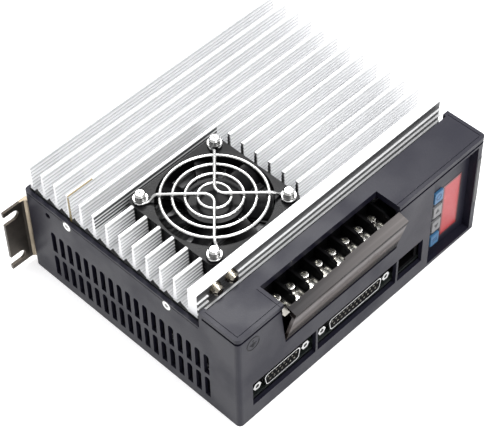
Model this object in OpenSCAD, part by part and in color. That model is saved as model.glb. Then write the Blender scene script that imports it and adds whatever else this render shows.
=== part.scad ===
// Stepper motor driver module: black moulded case, finned heat sink with a recessed
// cooling fan, barrier terminals under a hinged cover, two D-sub ports, and a recessed
// display with four keys.
// X runs along the front panel, Y from the front panel to the rear wall, Z up.
// Origin: middle of the flat base.

/* [Case] */
// Length of the front panel
box_w = 176.2; // [170:0.1:190]
// Depth from the front panel to the rear wall
box_d = 148.8; // [144:0.1:158]
// Height of the front panel up to the seam
front_h = 64.5; // [63:0.1:70]
// Height of the end walls and the rear wall
rim_h = 57; // [56:0.1:59]
// Wall thickness
wall = 2.2; // [1.8:0.1:2.4]
// Floor thickness
floor_t = 2; // [1.6:0.1:3]
// Radius of the upright outer corners
corner_r = 2.5; // [1.5:0.1:4]

/* [Vents] */
// Slots in a row on each end wall
vent_count = 19; // [8:1:19]
// Spacing of the slots
vent_pitch = 6; // [5:0.1:6.2]
// Width of a slot
vent_w = 3.5; // [2:0.1:4]
// Height of a slot
vent_h = 15; // [8:0.5:16]
// First slot's centre from the front panel
vent_first = 21.4; // [18:0.1:26]
// Height of the middle of the lower row
vent_low = 13.6; // [11:0.1:16]
// Spacing of the two rows
vent_rows = 18; // [16.5:0.1:20]

/* [Top cover] */
// Depth of the top cover
cover_d = 23; // [20:0.1:24]
// Thickness of the top cover's plate
cover_t = 2.5; // [2:0.1:3.5]
// Height of the shadow gap under the cover's edge
seam_h = 1.5; // [1:0.1:2.5]
// Inset of the cover's skirt behind the gap
seam_in = 1.2; // [0.8:0.1:1.6]
// Length of the corner tabs behind the cover
tab_l = 2; // [1:0.1:3]
// Width of the terminal bay in the cover and the panel
bay_w = 80.8; // [78:0.1:86]
// Depth of the terminal bay in the cover
bay_d = 15.1; // [13:0.1:17]
// Middle of the terminal bay from the left end
bay_x = 70.5; // [68:0.1:74]
// Height of the bay's sill on the front panel
sill_h = 38.2; // [37:0.1:40]

/* [Ports] */
// Bottom of the port openings
port_z = 9.6; // [8:0.1:11]
// Height of the port openings
port_h = 17; // [15:0.1:18]
// Left edge of the first opening
port_x = 9.2; // [8:0.1:12]
// Bar between two openings
port_bar = 1.4; // [1:0.1:2]
// Width of the 15-way opening
port15_w = 43.6; // [41:0.1:45]
// Width of the 25-way opening
port25_w = 57.7; // [55:0.1:58.5]
// Width of the auxiliary opening
aux_w = 18.7; // [17.5:0.1:20]
// Screw spacing of the 15-way connector
dsub15_span = 33.32; // [33.32]
// Screw spacing of the 25-way connector
dsub25_span = 47.04; // [47.04]
// How far the connector flanges sit behind the panel's face
dsub_in = 5; // [4:0.1:6]

/* [Display] */
// Width of the display recess
recess_w = 33.9; // [33.5:0.1:35]
// Depth of the display recess
recess_y = 4.7; // [4:0.1:6]
// Margin between the recess and the right end
recess_margin = 5; // [4.6:0.1:5.4]
// Rim left above the recess
recess_rim = 1.2; // [0.8:0.1:3]
// Width of the display window
window_w = 14.3; // [13:0.1:15]
// Height of the display window
window_h = 38.6; // [36:0.1:42]
// Middle of the window above the base
window_z = 27.5; // [25:0.1:32]
// Width of a key
key_w = 6.7; // [6:0.1:7]
// Height of a key
key_h = 8.2; // [7.5:0.1:9.5]
// Spacing of the keys
key_pitch = 11; // [10.5:0.1:11.2]
// Middle of the row of keys above the base
key_mid = 27; // [26:0.1:28]
// Inward travel of a key
key_travel = 0.3; // [0.2:0.05:0.3]

/* [Heat sink] */
// Length of the heat sink
sink_l = 171.2; // [165:0.1:171.6]
// Underside of the base above the case floor's underside
sink_z = 50; // [49:0.1:51]
// Thickness of the base
base_t = 7.5; // [6.5:0.1:8.5]
// Height of the fins above the base
fin_h = 17.4; // [15:0.1:22]
// Number of thin fins
fin_count = 12; // [10:1:12]
// Spacing of the fins
fin_pitch = 9.2; // [8.8:0.1:9.2]
// Thickness of a fin at its tip
fin_t = 1.8; // [1.4:0.1:2.2]
// Extra half-thickness of a fin at its root
fin_flare = 0.5; // [0.2:0.05:0.8]
// Depth of the serrations
serration = 0.45; // [0.2:0.05:0.5]
// Serrations up each side
serration_count = 7; // [3:1:8]
// Height of the smooth bead along a fin's tip
bead_h = 1; // [0.8:0.1:3]
// Ribs along the front wall of the heat sink
rib_count = 3; // [1:1:3]
// Spacing of these ribs
rib_pitch = 4.05; // [3:0.05:4.1]
// Lowest rib above the base of the fins
rib_first = 4; // [3.6:0.1:4.6]
// How far a rib stands out
rib_d = 1; // [0.5:0.1:1.2]
// Radius at the fin roots
root_r = 1.2; // [0.8:0.1:1.6]
// Thickness of the front wall of the heat sink
front_wall_t = 6.3; // [5:0.1:6.3]
// Front face of that wall from the front panel
front_wall_y = 28.4; // [28:0.1:28.4]
// Front edge of the base under the cover
flange_y = 21.5; // [20.5:0.1:22]

/* [Fan] */
// Side of the square fan frame
fan_size = 60; // [58:0.5:60]
// Thickness of the fan
fan_t = 10; // [9.5:0.1:11]
// Screw spacing of the fan
fan_span = 50; // [48:0.5:50]
// Middle of the fan from the left end
fan_x = 50.7; // [48:0.1:56]
// Middle of the fan from the front panel
fan_y = 65; // [64.6:0.1:66]
// Fan frame's top below the fin tips
fan_sink = 1.6; // [0.5:0.1:2]
// Radius of the air opening
fan_bore_r = 29; // [27.5:0.1:29.2]
// Radius of the hub
hub_r = 14.5; // [13:0.1:16]
// Blades on the rotor
blade_count = 7; // [5:1:9]
// Slope of the blades in degrees
blade_pitch = 32; // [20:1:36]
// Radius of the rotor shaft
shaft_r = 1.5; // [1.2:0.1:2]
// Wire diameter of the fan guard
wire_d = 1.6; // [1.2:0.1:2]

/* [Fan and earth screws] */
// Radius of the flat washers
flat_r = 3.6; // [3:0.1:4]
// Thickness of the flat washers
flat_t = 0.6; // [0.4:0.1:0.8]
// Radius of the spring washers
spring_r = 3; // [2.6:0.1:3.2]
// Height of a flat washer and a spring washer together
stack_t = 1.6; // [1.2:0.1:1.8]
// Radius of the screw heads
head_r = 2.8; // [2.5:0.1:3.2]
// Height of the screw heads
head_h = 2.2; // [1.6:0.1:2.4]

/* [Terminals] */
// Number of terminals
term_count = 8; // [4:1:8]
// Spacing of the terminals
term_pitch = 9.5; // [9:0.1:9.6]
// Screw line from the front panel
term_y = 11.4; // [11:0.1:12]
// Top of the screw heads above the base
term_top = 57; // [55:0.1:59]
// Thickness of the hinged cover
flap_t = 1.6; // [1.2:0.1:2]
// How far the shut cover's top stands above the panel's edge
flap_rise = 0.6; // [0:0.1:1]
// Width of the hinged cover's top strip
flap_top = 6.4; // [5:0.1:7]
// Narrower left half of the top strip
flap_step = 0.8; // [0:0.1:1.5]
// Height of the hinge pin above the bay's sill
hinge_up = 1.8; // [1.7:0.1:3]
// Angle at which the cover stands open
flap_open = 14.5; // [0:0.5:60]

/* [Mounting brackets] */
// Height of a bracket
bracket_h = 43.2; // [40:0.1:46]
// Thickness of the bracket plate
bracket_t = 1.5; // [1:0.1:2]
// Reach of the slotted ear beyond the case
ear_l = 13; // [11:0.1:16]
// Width of the open slots
slot_w = 6; // [5:0.1:7]
// Spacing of the two slots
slot_span = 31; // [28:0.1:33]
// Middle of the bracket above the base
bracket_z = 25.2; // [23:0.1:27]
// Offset of the ears behind the rear wall
ear_back = 2.2; // [1.6:0.1:3]

/* [Hidden] */
$fn = 48;
fit = 0.05;          // radial running clearance of pins, shafts and screws
gap = 0.3;           // clearance between pieces that only sit beside each other
eps = 0.01;
m3 = 1.5;            // radius of the M3 screws
m4 = 2;              // radius of the M4 screws

inner_l = wall + gap;
cover_z = front_h + seam_h;
cover_top = cover_z + cover_t;
front_zone = cover_d + tab_l;
base_top = sink_z + base_t;
fin_top = base_top + fin_h;
sink_x = (box_w - sink_l) / 2;
sink_back = box_d - wall - gap;
wall_back = front_wall_y + front_wall_t;
fin_1 = sink_back - 2;                       // rear fin's centre line, counted forwards
fan_top = fin_top - fan_sink;
fan_z = fan_top - fan_t;
strut_t = 1.5;
port25_x = port_x + port15_w + port_bar;
aux_x = port25_x + port25_w + port_bar;
port_mid = port_z + port_h / 2;
dsub15_x = port_x + port15_w / 2;
dsub25_x = port25_x + port25_w / 2;
recess_x = box_w - recess_margin - recess_w;
recess_top = front_h - recess_rim;
recess_wall = 1.2;
bezel_t = 1.5;
bezel_back = recess_y + bezel_t;
module_t = 6;
display_board_y = bezel_back + gap + module_t + gap;
window_gap = 1;
display_w = key_w + window_gap + window_w;
key_x = recess_x + (recess_w - display_w) / 2 + key_w / 2 + 0.4;
window_x = key_x + key_w / 2 + window_gap + window_w / 2;
key_proud = 1.1;
pin_r = 0.8;
hinge_y = flap_t - 0.3;
hinge_z = sill_h + hinge_up;
flap_h = front_h + flap_rise - hinge_z;
flap_l = bay_w - 2.2;
flap_x = bay_x + 0.6;
board_t = 1.6;
control_z = port_mid - 6.25 - board_t;
power_z = sill_h - 2.2 - board_t;
power_top = power_z + board_t;
seat_z = term_top - 4.5;

// Moves a module from the left front bottom corner of the case to the origin
module place() translate([-box_w / 2, -box_d / 2, 0]) children();

// Points of a polygon whose corners are rounded to radius r in n steps
function unit(v) = v / norm(v);
function corner_arc(a, b, c, r, n) =
    let (u = unit(a - b), v = unit(c - b), half = acos(u * v) / 2,
        mid = b + unit(u + v) * r / sin(half),
        s = cross(v, u) > 0 ? 1 : -1,
        from = atan2((b + u * r / tan(half) - mid).y, (b + u * r / tan(half) - mid).x))
    [for (i = [0 : n]) mid + r * [cos(from + s * (180 - 2 * half) * i / n),
        sin(from + s * (180 - 2 * half) * i / n)]];
function rounded(p, r, n = 4) = [for (i = [0 : len(p) - 1])
    each corner_arc(p[(i + len(p) - 1) % len(p)], p[i], p[(i + 1) % len(p)], r, n)];
function box_points(w, d, x = 0, y = 0) = [[x, y], [x + w, y], [x + w, y + d], [x, y + d]];

module rounded_plate(w, d, h, r, n = 5)
    linear_extrude(h) polygon(rounded(box_points(w, d), r, n));

// An upright plate from a profile drawn in X and Z, from y0 to y1
module upright(y0, y1) translate([0, y1, 0]) rotate([90, 0, 0]) linear_extrude(y1 - y0) children();

module screw(r, len, head_r, head_h, socket_r) {
    difference() {
        union() {
            cylinder(r = head_r, h = head_h);
            translate([0, 0, -len]) cylinder(r = r, h = len + eps);
        }
        translate([0, 0, head_h * 0.45]) cylinder(r = socket_r, h = head_h, $fn = 6);
    }
}

// Cross-slotted pan head
module pan_screw(r, len, head_r, head_h) {
    difference() {
        union() {
            translate([0, 0, head_h * 0.45]) cylinder(r1 = head_r, r2 = head_r * 0.72, h = head_h * 0.55);
            cylinder(r = head_r, h = head_h * 0.45);
            translate([0, 0, -len]) cylinder(r = r, h = len + eps);
        }
        for (a = [0, 90]) rotate(a) translate([-head_r * 0.55, -head_r * 0.11, head_h * 0.5])
            cube([head_r * 1.1, head_r * 0.22, head_h]);
    }
}

module washer(r, hole_r, t) difference() {
    cylinder(r = r, h = t);
    translate([0, 0, -eps]) cylinder(r = hole_r, h = t + 2 * eps);
}

// ---- case ----

rim_groove = 0.4;
side_screw_y = [47, 117];
side_screw_z = sink_z + base_t / 2;
side_head_r = 3.4;
side_head_h = 1.6;
board_post_r = 3.2;
control_posts = [for (x = [wall + 6.8, aux_x + aux_w - 6], y = [0.2, 0.376]) [x, y * box_d]];
power_posts = [for (x = [0.08, 0.92], y = [0.47, 0.926]) [x * box_w, y * box_d]];
locate_y = box_d * 0.884;
locate_r = 1.7;

module vent_slot() {
    r = vent_w / 2;
    polygon([for (a = [0 : 30 : 180]) [r * cos(a), vent_h / 2 - r + r * sin(a)],
        [-r, -vent_h / 2], [r, -vent_h / 2]]);
}

module vent_rows() for (row = [0, 1], i = [0 : vent_count - 1])
    translate([-1, vent_first + i * vent_pitch, vent_low + row * vent_rows])
        rotate([90, 0, 90]) linear_extrude(box_w + 2) vent_slot();

module case_outline(h) rounded_plate(box_w, box_d, h, corner_r);

module bay_profile() polygon([[bay_x - bay_w / 2 + 1.4, sill_h], [bay_x + bay_w / 2 - 0.2, sill_h],
    [bay_x + bay_w / 2, front_h + 1], [bay_x - bay_w / 2 - 1.8, front_h + 1]]);

module port_profile() {
    translate([port_x, port_z]) square([port15_w, port_h]);
    translate([port25_x, port_z]) square([port25_w, port_h]);
    translate([aux_x, port_z]) square([aux_w, port_h]);
}

module hinge_ears() for (side = [-1, 1]) {
    inner = side < 0 ? bay_x - bay_w / 2 - 3.4 : bay_x + bay_w / 2 + 0.2;
    translate([inner, wall - eps, hinge_z - 3]) cube([3.2, 2, 6]);
}

module hinge_bore() translate([flap_x - flap_l / 2 - 3, hinge_y, hinge_z]) rotate([0, 90, 0])
    cylinder(r = pin_r + fit, h = flap_l + 6);

module housing_shell() place() color([0.27, 0.26, 0.29]) difference() {
    union() {
        difference() {
            case_outline(front_h);
            translate([wall, wall, floor_t])
                rounded_plate(box_w - 2 * wall, box_d - 2 * wall, front_h, 0.8, 3);
            translate([-1, front_zone, rim_h]) cube([box_w + 2, box_d, front_h]);
        }
        translate([recess_x - recess_wall, 0.5, floor_t - 0.5])
            cube([recess_w + 2 * recess_wall, bezel_back - 0.5, recess_top + recess_wall - floor_t + 0.5]);
        for (x = [wall - eps, box_w - wall - 3 + eps]) translate([x, flange_y + 1, sink_z - 2])
            cube([3, box_d - flange_y - wall - 1 + eps, 2]);
        for (p = control_posts) translate([p.x, p.y, floor_t - eps])
            cylinder(r = board_post_r, h = control_z - floor_t + eps);
        for (p = power_posts) translate([p.x, p.y, floor_t - eps])
            cylinder(r = board_post_r, h = power_z - floor_t + eps);
        hinge_ears();
    }
    translate([recess_x, -1, floor_t]) cube([recess_w, bezel_back + 2, recess_top - floor_t]);
    vent_rows();
    upright(-1, wall + 1) port_profile();
    upright(-1, wall + eps) bay_profile();
    hinge_bore();
    for (x = [-1, box_w - rim_groove]) translate([x, front_zone + 1, rim_h - 1.7])
        cube([1 + rim_groove, box_d - front_zone - 1 - corner_r, 0.5]);
    for (y = side_screw_y, side = [0, 1]) translate([side * box_w, y, side_screw_z])
        rotate([0, side == 0 ? 90 : -90, 0]) {
            translate([0, 0, -1]) cylinder(r = m4 + 0.25, h = wall + 2);
            translate([0, 0, -eps]) cylinder(r1 = side_head_r + fit, r2 = m4 + 0.25, h = side_head_h);
        }
    for (side = [0, 1]) translate([side * (box_w - wall) - 1, locate_y, sink_z + 0.5]) rotate([0, 90, 0])
        cylinder(r = locate_r, h = wall + 2);
    for (p = concat(control_posts, power_posts)) translate([p.x, p.y, floor_t + 2])
        cylinder(r = m3 + fit, h = front_h);
    for (side = [0, 1], z = bracket_screw_z) translate([abs(side * box_w - bracket_foot), box_d + 1, z])
        rotate([90, 0, 0]) cylinder(r = m4 + fit, h = wall + 2);
}

module cover_outline(inset) difference() {
    union() {
        polygon(rounded(box_points(box_w - 2 * inset, cover_d + 4, inset, inset),
            max(corner_r - inset, 0.5)));
    }
    translate([-1, cover_d]) square([box_w + 2, 10]);
}

module top_cover() place() color([0.23, 0.23, 0.27]) difference() {
    union() {
        translate([0, 0, cover_z]) linear_extrude(cover_t) cover_outline(0);
        translate([0, 0, front_h]) linear_extrude(seam_h + eps) cover_outline(seam_in);
        translate([wall + gap, cover_d - 1.6, base_top])
            cube([box_w - 2 * wall - 2 * gap, 1.6, front_h - base_top + 1]);
        for (x = [0, box_w - 3.6]) translate([x, cover_d - eps, front_h])
            cube([3.6, tab_l + eps, cover_top - front_h]);
    }
    translate([bay_x - bay_w / 2, -1, base_top - 1]) cube([bay_w, bay_d + 1, cover_top]);
    translate([0, 0, cover_top - 0.3]) linear_extrude(1) difference() {
        cover_outline(2);
        cover_outline(2.4);
    }
    translate([bay_x - bay_w / 2 - 2.4, -1, cover_top - 0.3]) cube([0.4, bay_d + 1, 1]);
}

label_t = 0.15;
label_h = front_h / 2;

module blank_label() place() color("white") intersection() {
    translate([0, 0, front_h / 3]) difference() {
        translate([-label_t, -label_t, 0])
            rounded_plate(box_w + 2 * label_t, box_d + 2 * label_t, label_h, corner_r + label_t);
        translate([0, 0, -1]) rounded_plate(box_w, box_d, label_h + 2, corner_r);
    }
    translate([box_w - recess_margin + 0.6, -1, 0]) cube([recess_margin, corner_r + 1, front_h]);
}

// ---- heat sink ----

// Half-profile of one fin: serrated from the root up, then a smooth bead along the tip
function fin_half(side, root, tip, h) = let (p = (h - root_r - bead_h) / serration_count) [
    for (i = [0 : serration_count - 1], k = [0, 1])
        let (z = root_r + p * (i + k / 2), w = root + (tip - root) * z / h)
        [side * (w - (k == 1 ? serration : 0)), base_top + z],
    [side * (tip - serration), base_top + h - bead_h], [side * tip, base_top + h - bead_h + 0.4],
    [side * tip, base_top + h - 0.3], [side * (tip - 0.3), base_top + h]];
function mirrored(p) = [for (i = [len(p) - 1 : -1 : 0]) p[i]];
function root_arc(y, side) = [for (a = [0 : 30 : 60])
    [y + side * root_r * (1 - sin(a)), base_top + root_r * (1 - cos(a))]];
function at(y, p) = [for (q = p) [y + q.x, q.y]];
function fin_points(y) = let (w = fin_t / 2 + fin_flare) concat(
    root_arc(y - w, -1), at(y, fin_half(-1, w, fin_t / 2, fin_h)),
    at(y, mirrored(fin_half(1, w, fin_t / 2, fin_h))), mirrored(root_arc(y + w, 1)));
function rib_points(z) = [[front_wall_y, z - 0.7], [front_wall_y - rib_d, z - 0.2],
    [front_wall_y - rib_d, z + 0.25], [front_wall_y, z + 0.4]];
function rib_z(i) = base_top + rib_first + i * rib_pitch;
function front_wall_points() = let (c = front_wall_y + front_wall_t / 2, w = front_wall_t / 2) concat(
    [[front_wall_y, base_top]], [for (i = [0 : rib_count - 1]) each rib_points(rib_z(i))],
    [[front_wall_y, fin_top - 0.3], [front_wall_y + 0.3, fin_top]],
    at(c, mirrored(fin_half(1, w, w, fin_h))), mirrored(root_arc(c + w, 1)));
function fin_line(i) = fin_1 - (fin_count - 1 - i) * fin_pitch;

module sink_profile() polygon(concat(
    [[flange_y, sink_z], [flange_y, base_top]], front_wall_points(),
    [for (i = [0 : fin_count - 1]) each fin_points(fin_line(i))],
    [[sink_back, base_top], [sink_back, sink_z]]));

fan_corners = [for (x = [-1, 1], y = [-1, 1]) [fan_x + x * fan_span / 2, fan_y + y * fan_span / 2]];
pocket_right = 3.8;
earth_x = [14.1, 24.1];
earth_z = fin_top - 4;
earth_pocket = flat_r + 1.1;

module heat_sink() place() color([0.86, 0.87, 0.88]) difference() {
    union() {
        difference() {
            translate([sink_x, 0, 0]) rotate([90, 0, 90]) linear_extrude(sink_l) sink_profile();
            translate([fan_x - fan_size / 2 - 0.7, wall_back + eps, fan_z])
                cube([fan_size + 0.7 + pocket_right, fan_y + fan_size / 2 + 0.7 - wall_back, fan_t + 20]);
        }
        for (p = fan_corners) translate([p.x, p.y, base_top - 1]) cylinder(r = 3.4, h = fan_z - base_top + 1);
    }
    for (p = fan_corners) translate([p.x, p.y, base_top - 4]) cylinder(r = m3 + fit, h = fan_t + 20);
    translate([earth_x[0] - earth_pocket, front_wall_y - 3, rib_z(1) - 1])
        cube([earth_x[1] - earth_x[0] + 2 * earth_pocket, 3, fin_h]);
    for (x = earth_x) translate([x, front_wall_y + front_wall_t + 1, earth_z]) rotate([90, 0, 0])
        cylinder(r = m3 + fit, h = front_wall_t + 2);
    for (y = side_screw_y, side = [0, 1])
        translate([sink_x + side * (sink_l - 12) - (1 - side), y, side_screw_z])
        rotate([0, 90, 0]) cylinder(r = m4 + fit, h = 13);
}

// ---- fan ----

fan_corner_r = 4;

module fan_frame() place() color([0.12, 0.12, 0.13]) translate([fan_x, fan_y, fan_z]) {
    difference() {
        translate([-fan_size / 2, -fan_size / 2, 0]) rounded_plate(fan_size, fan_size, fan_t, fan_corner_r);
        translate([0, 0, -1]) cylinder(r = fan_bore_r, h = fan_t + 2, $fn = 96);
        for (x = [-1, 1], y = [-1, 1]) translate([x * fan_span / 2, y * fan_span / 2, -1])
            cylinder(r = m3 + 0.6, h = fan_t + 2);
    }
    difference() {
        union() {
            cylinder(r = hub_r - 0.5, h = strut_t);
            for (a = [30 : 90 : 300]) rotate(a) translate([hub_r - 2, -1.6, 0])
                cube([fan_bore_r - hub_r + 2.4, 3.2, strut_t]);
            cylinder(r = shaft_r + 2, h = fan_t - 3.4);
        }
        translate([0, 0, -1]) cylinder(r = shaft_r + fit, h = fan_t);
    }
}

rotor_top = fan_t - 0.9;
rotor_bottom = strut_t + 0.6;
blade_t = 1.1;
blade_r = 16;

// One blade: a slice of a thin-walled tube lying along the radius, trimmed to the swept ring
module blade() intersection() {
    difference() {
        translate([0, 0, rotor_bottom + 0.4]) cylinder(r = fan_bore_r - 0.8, h = rotor_top - rotor_bottom - 0.9);
        translate([0, 0, -1]) cylinder(r = hub_r - 0.6, h = fan_t + 2);
    }
    translate([0, 0, (rotor_top + rotor_bottom) / 2]) rotate([blade_pitch, 0, 0])
        translate([hub_r - 2, 0, -blade_r]) rotate([0, 90, 0]) intersection() {
            difference() {
                cylinder(r = blade_r, h = fan_bore_r);
                translate([0, 0, -1]) cylinder(r = blade_r - blade_t, h = fan_bore_r + 2);
            }
            translate([-blade_r - 1, -7.2, -1]) cube([blade_r, 14.4, fan_bore_r + 2]);
        }
}

module fan_rotor() place() color([0.09, 0.09, 0.1]) translate([fan_x, fan_y, fan_z]) {
    difference() {
        translate([0, 0, rotor_bottom]) cylinder(r = hub_r, h = rotor_top - rotor_bottom);
        translate([0, 0, rotor_bottom - 1]) cylinder(r = hub_r - 1.3, h = rotor_top - rotor_bottom - 0.3);
    }
    translate([0, 0, strut_t]) cylinder(r = shaft_r, h = rotor_top - strut_t - 0.5);
    for (i = [0 : blade_count - 1]) rotate(i * 360 / blade_count) blade();
}

module fan_stator() place() color("peru") translate([fan_x, fan_y, fan_z + strut_t + gap])
    difference() {
        cylinder(r = hub_r - 2.2, h = rotor_top - strut_t - 2.4);
        translate([0, 0, -1]) cylinder(r = shaft_r + 2 + gap, h = fan_t);
    }

wire_r = wire_d / 2;
ring_step = 6.05;
ring_out = 26.2;
eye_r = 3.1;
bend_r = 5;
eye_t = wire_d + 0.1;
guard_z = fan_top + eye_t / 2;
screw_reach = fan_span / sqrt(2);

module torus(r, angle = 360) rotate_extrude(angle = angle, $fn = 96)
    translate([r, 0]) circle(r = wire_r, $fn = 20);

// Half of a support wire: out along X from the middle bend to the flattened eye under its screw
module guard_leg() {
    translate([bend_r, 0, 0]) rotate([0, 90, 0]) cylinder(r = wire_r, h = screw_reach - eye_r - bend_r);
    translate([screw_reach, 0, -eye_t / 2]) washer(eye_r + wire_r, eye_r - wire_r, eye_t);
}

module fan_guard() place() color("gainsboro") translate([fan_x, fan_y, guard_z]) {
    for (i = [0 : 3]) translate([0, 0, wire_d + 0.02]) torus(ring_out - i * ring_step);
    for (a = [-45, 135]) rotate(a) {
        guard_leg();
        mirror([1, -1, 0]) guard_leg();
        translate([bend_r, bend_r, 0]) rotate(180) torus(bend_r, 90);
    }
}

// Flat washer under a narrower spring washer
module washer_pair() difference() {
    union() {
        cylinder(r = flat_r, h = flat_t);
        cylinder(r = spring_r, h = stack_t);
    }
    translate([0, 0, -eps]) cylinder(r = m3 + 0.2, h = stack_t + 2 * eps);
}

module fan_washers() place() color("silver") for (p = fan_corners)
    translate([p.x, p.y, guard_z + eye_t / 2]) washer_pair();

module fan_screws() place() color("silver") for (p = fan_corners)
    translate([p.x, p.y, guard_z + eye_t / 2 + stack_t]) pan_screw(m3, fan_t + 9, head_r, head_h);

// ---- fasteners on the heat sink ----

module earth_washers() place() color("silver") for (x = earth_x)
    translate([x, front_wall_y, earth_z]) rotate([90, 0, 0]) washer_pair();

module earth_screws() place() color("silver") for (x = earth_x)
    translate([x, front_wall_y - stack_t, earth_z]) rotate([90, 0, 0])
        pan_screw(m3, stack_t + front_wall_t - gap, head_r, head_h);

module side_screws() place() color("white") for (y = side_screw_y, side = [0, 1])
    translate([side * box_w, y, side_screw_z]) rotate([0, side == 0 ? 90 : -90, 0]) difference() {
        union() {
            cylinder(r1 = side_head_r, r2 = m4, h = side_head_h - fit);
            cylinder(r = m4, h = 12);
        }
        translate([0, 0, -eps]) cylinder(r = 1.2, h = 1, $fn = 6);
    }

// ---- mounting brackets ----

bracket_foot = 16;
bracket_screw_z = [bracket_z - 12, bracket_z + 12];

// Plan view: foot on the rear wall, an offset bend, and the ear
module bracket_plan() {
    t = bracket_t;
    polygon(concat(
        [[bracket_foot + 8, 0], [bracket_foot + 8, t]],
        [for (a = [0 : 30 : 90]) [1.6 + t - (ear_back - 0.4) * sin(a) + 1.6, t + (ear_back) * (1 - cos(a))]],
        [[-ear_l, ear_back + t], [-ear_l, ear_back]],
        [for (a = [0 : 30 : 90]) [-1.2 + (ear_back + 0.6) * sin(a), ear_back * cos(a)]]));
}

module bracket() difference() {
    translate([0, box_d, bracket_z - bracket_h / 2]) linear_extrude(bracket_h) bracket_plan();
    for (s = [-1, 1]) translate([0, box_d - 1, bracket_z + s * slot_span / 2]) {
        translate([-3.9 - slot_w / 2, 0, 0]) rotate([-90, 0, 0]) cylinder(r = slot_w / 2, h = 8);
        translate([-ear_l - 1, 0, -slot_w / 2]) cube([ear_l - 2.9 - slot_w / 2, 8, slot_w]);
    }
    for (z = bracket_screw_z) translate([bracket_foot, box_d, z]) rotate([-90, 0, 0]) {
        translate([0, 0, -1]) cylinder(r = m4 + 0.2, h = bracket_t + 2);
        translate([0, 0, bracket_t - 1.2]) cylinder(r1 = m4 + 0.2, r2 = 3.6 + fit, h = 1.2 + eps);
    }
}

module left_bracket() place() color([0.66, 0.62, 0.55]) bracket();
module right_bracket() place() color([0.66, 0.62, 0.55]) translate([box_w, 0, 0]) mirror([1, 0, 0]) bracket();

module bracket_screws() place() color("silver") for (side = [0, 1], z = bracket_screw_z)
    translate([abs(side * box_w - bracket_foot), box_d + bracket_t, z]) rotate([90, 0, 0]) difference() {
        union() {
            cylinder(r1 = 3.6, r2 = m4, h = 1.2);
            cylinder(r = m4, h = bracket_t + wall + 2);
        }
        translate([0, 0, -eps]) cylinder(r = 1.2, h = 0.9, $fn = 6);
    }

// ---- terminals ----

term_y0 = 4;
term_y1 = 19.4;
block_l = term_count * term_pitch + 1.6;
barrier_t = 1.5;
barrier_z = term_top + 4;
screw_l = 9;
function term_x(i) = bay_x + (i - (term_count - 1) / 2) * term_pitch;

module terminal_block() place() color([0.07, 0.07, 0.08]) difference() {
    union() {
        translate([bay_x - block_l / 2, term_y0, power_top]) cube([block_l, term_y1 - term_y0, seat_z - power_top]);
        translate([bay_x - block_l / 2, term_y1 - 1.5, power_top]) cube([block_l, 1.5, barrier_z - power_top]);
        for (i = [0 : term_count]) translate([term_x(i) - (term_pitch + barrier_t) / 2, 0, 0])
            rotate([90, 0, 90]) linear_extrude(barrier_t) polygon([[term_y0, power_top], [term_y1, power_top],
                [term_y1, barrier_z], [term_y0 + 4, barrier_z], [term_y0 + 2.5, barrier_z - 1.2],
                [term_y0, barrier_z - 2.2]]);
    }
    for (i = [0 : term_count - 1]) translate([term_x(i), term_y, seat_z - screw_l])
        cylinder(r = m3 + fit, h = screw_l + 1);
}

plate_w = 7;
module terminal_plates() place() color([0.8, 0.78, 0.66]) for (i = [0 : term_count - 1])
    translate([term_x(i) - plate_w / 2, 0, 0]) difference() {
        union() {
            translate([0, term_y0 - 1.2, seat_z]) cube([plate_w, term_y + 4.5 - term_y0 + 1.2, 1]);
            translate([0.8, term_y0 - 1.2, seat_z - 6]) cube([plate_w - 1.6, 1, 6 + eps]);
            for (x = [0, plate_w - 0.8]) translate([x, term_y0 + 1, seat_z + 1 - eps]) cube([0.8, 6, 1]);
        }
        translate([plate_w / 2, term_y, seat_z - 1]) cylinder(r = m3 + 0.15, h = 3);
    }

module terminal_washers() place() color([0.82, 0.8, 0.7]) for (i = [0 : term_count - 1])
    translate([term_x(i), term_y, seat_z + 1]) difference() {
        translate([-2.6, -3.1, 0]) cube([5.2, 6.2, 1]);
        translate([0, 0, -1]) cylinder(r = m3 + 0.15, h = 3);
    }

module terminal_screws() place() color([0.86, 0.84, 0.74]) for (i = [0 : term_count - 1])
    translate([term_x(i), term_y, seat_z + 2]) pan_screw(m3, screw_l, 2.9, 2.5);

// L-section cover on a pin line along its lower edge, drawn shut and then swung open
module terminal_cover() place() color([0.45, 0.42, 0.4]) translate([flap_x, hinge_y, hinge_z])
    rotate([flap_open, 0, 0]) {
        translate([-flap_l / 2, -hinge_y, 0]) cube([flap_l, flap_t, flap_h]);
        translate([-flap_l / 2, -hinge_y, flap_h - flap_t]) cube([flap_l, flap_top - flap_step, flap_t]);
        translate([0, -hinge_y, flap_h - flap_t]) cube([flap_l / 2, flap_top, flap_t]);
        for (x = [-flap_l / 2, flap_l / 2 - 1.2]) translate([x, -hinge_y, flap_h - 4])
            cube([1.2, 3, 4]);
        translate([-flap_l / 2, 0, 0]) rotate([0, 90, 0]) cylinder(r = hinge_y, h = flap_l);
        translate([-flap_l / 2 - 2, 0, 0]) rotate([0, 90, 0]) cylinder(r = pin_r, h = flap_l + 4);
    }

// ---- ports ----

// Outline of a D-sub shell, wide side up
function dsub_points(w, h) = let (s = h * tan(10)) rounded(
    [[-w / 2 + s, -h / 2], [w / 2 - s, -h / 2], [w / 2, h / 2], [-w / 2, h / 2]], 2, 4);

dsub_h = 8.36;
dsub_flange_h = 12.5;
dsub_shell_t = 0.5;
dsub_reach = 3.6;
function dsub_w(span) = span - 8.1;
socket_pitch = 2.77;

module dsub_shell(x, span) place() color("silver") translate([x, 0, port_mid])
    upright(dsub_in - dsub_reach, dsub_in) difference() {
        polygon(dsub_points(dsub_w(span), dsub_h));
        polygon(dsub_points(dsub_w(span) - 2 * dsub_shell_t, dsub_h - 2 * dsub_shell_t));
    }

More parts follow.
